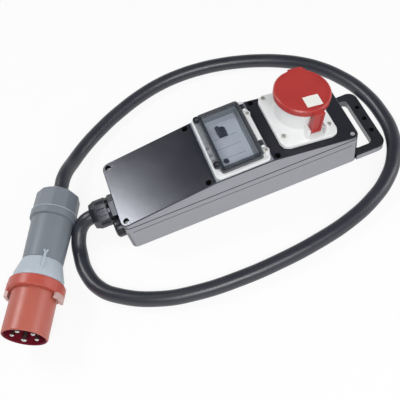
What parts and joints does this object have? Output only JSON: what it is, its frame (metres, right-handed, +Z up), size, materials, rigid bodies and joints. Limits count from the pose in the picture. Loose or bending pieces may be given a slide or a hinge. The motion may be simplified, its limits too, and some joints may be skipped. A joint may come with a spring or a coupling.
{
  "type": "portable power distribution box",
  "caption": "Hand-carried power box with an arched case, a breaker behind a hinged clear window, a lidded socket, a carrying loop and a plug on a heavy cable.",
  "frame": {"origin": "middle of the case's underside", "axes": "+X from the cable end to the handle end, +Z up"},
  "size_m": [0.6369, 0.407, 0.1394],
  "materials": {
    "case_black": "fine moulded texture, semi-matt",
    "gasket_black": "matt",
    "gland_black": "moulded, semi-matt",
    "cable_rubber": "smooth rubber sheath",
    "steel": "zinc plated",
    "nickel": "nickel plated brass",
    "frame_white": "moulded, satin",
    "clear_cover": "clear polycarbonate",
    "breaker_grey": "moulded, satin",
    "switch_dark": "moulded, satin",
    "socket_white": "moulded, satin",
    "carrier_grey": "moulded, matt",
    "signal_red": "moulded, satin",
    "plug_light_grey": "moulded, satin",
    "plug_dark_grey": "moulded, satin"
  },
  "bodies": {
    "case": {"case_base": "case_black", "case_lid": "case_black", "lid_gasket": "gasket_black", "socket_gasket": "gasket_black", "gland_body": "gland_black", "gland_nut": "gland_black", "gland_locknut": "gland_black", "blanking_plug": "gland_black", "supply_cable": "cable_rubber", "gland_seal": "cable_rubber", "lid_screw_1": "steel", "lid_screw_2": "steel", "lid_screw_3": "steel", "lid_screw_4": "steel", "lid_screw_5": "steel", "lid_screw_6": "steel", "lid_screw_7": "steel", "lid_screw_8": "steel", "window_screw_1": "steel", "window_screw_2": "steel", "window_screw_3": "steel", "window_screw_4": "steel", "socket_screw_1": "steel", "socket_screw_2": "steel", "socket_screw_3": "steel", "socket_screw_4": "steel", "cover_hinge_pin_1": "steel", "cover_hinge_pin_2": "steel", "socket_hinge_pin": "steel", "lid_spring": "steel", "mounting_rail": "steel", "contact_tube_1": "nickel", "contact_tube_2": "nickel", "contact_tube_3": "nickel", "contact_tube_4": "nickel", "contact_tube_5": "nickel", "plug_pin_1": "nickel", "plug_pin_2": "nickel", "plug_pin_3": "nickel", "plug_pin_4": "nickel", "plug_pin_5": "nickel", "window_frame": "frame_white", "breaker_body": "breaker_grey", "blank_module": "breaker_grey", "socket_housing": "socket_white", "contact_carrier": "carrier_grey", "plug_sleeve": "signal_red", "pin_carrier": "signal_red", "plug_front": "plug_light_grey", "plug_lock_clip": "plug_light_grey", "plug_rear": "plug_dark_grey", "plug_nut": "plug_dark_grey"},
    "cover": {"window_cover": "clear_cover"},
    "socket_flap": {"socket_lid": "signal_red", "socket_lid_seal": "gasket_black"},
    "toggle": {"breaker_toggle": "switch_dark"},
    "test_push": {"test_button": "switch_dark"},
    "bayonet_ring": {"plug_ring": "signal_red"}
  },
  "joints": [
    {"name": "window_hinge", "type": "hinge", "parent": "case", "child": "cover", "pos_m": [0.0425, 0, 0.0953], "axis": [0, 1, 0], "range_deg": [0, 100]},
    {"name": "socket_lid_hinge", "type": "hinge", "parent": "case", "child": "socket_flap", "pos_m": [0.11261, -0.0383, 0.09475], "axis": [0.9827, 0, -0.1853], "range_deg": [0, 100], "stiffness_Nm_per_rad": 0.05, "springref_deg": -34.38},
    {"name": "toggle_throw", "type": "hinge", "parent": "case", "child": "toggle", "pos_m": [0.0015, 0.0228, 0.0805], "axis": [0, 1, 0], "range_deg": [0, 64]},
    {"name": "test_press", "type": "slide", "parent": "case", "child": "test_push", "axis": [0, 0, -1], "range_m": [0, 0.0014], "stiffness_N_per_m": 200},
    {"name": "ring_turn", "type": "hinge", "parent": "case", "child": "bayonet_ring", "pos_m": [-0.32271, -0.0811, 0.04014], "axis": [0.42, 0.9064, -0.0452], "range_deg": [0, 30]}
  ]
}
